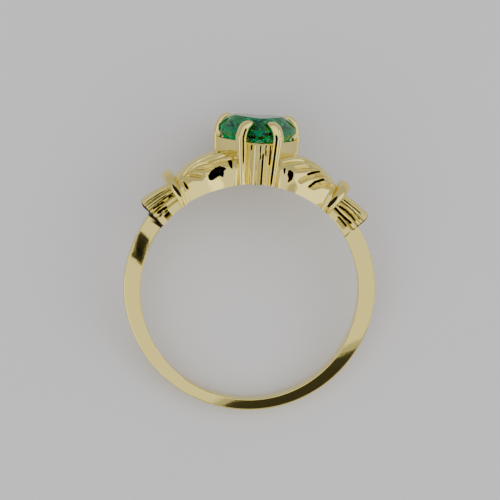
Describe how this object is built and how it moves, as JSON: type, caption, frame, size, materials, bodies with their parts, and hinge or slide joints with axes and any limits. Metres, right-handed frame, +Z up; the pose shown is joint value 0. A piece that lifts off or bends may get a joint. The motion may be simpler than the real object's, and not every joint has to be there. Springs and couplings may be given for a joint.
{
  "type": "claddagh ring",
  "caption": "Claddagh ring in polished yellow gold: two hands hold a crowned heart set with a green heart-cut stone; it lies on its side.",
  "frame": {"origin": "centre of the overall bounding box, on the surface that the ring lies on", "axes": "+Z up from the surface, +Y from the band's back to the head, +X to the right of someone who reads the heart with its tip up; the finger hole's axis leans 13 degrees back from +Z"},
  "size_m": [0.02, 0.0234, 0.009],
  "materials": {
    "yellow_gold": "polished",
    "emerald": "polished, facetted"
  },
  "bodies": {
    "root": {"gold_ring": "yellow_gold", "heart_stone": "emerald"}
  },
  "joints": []
}
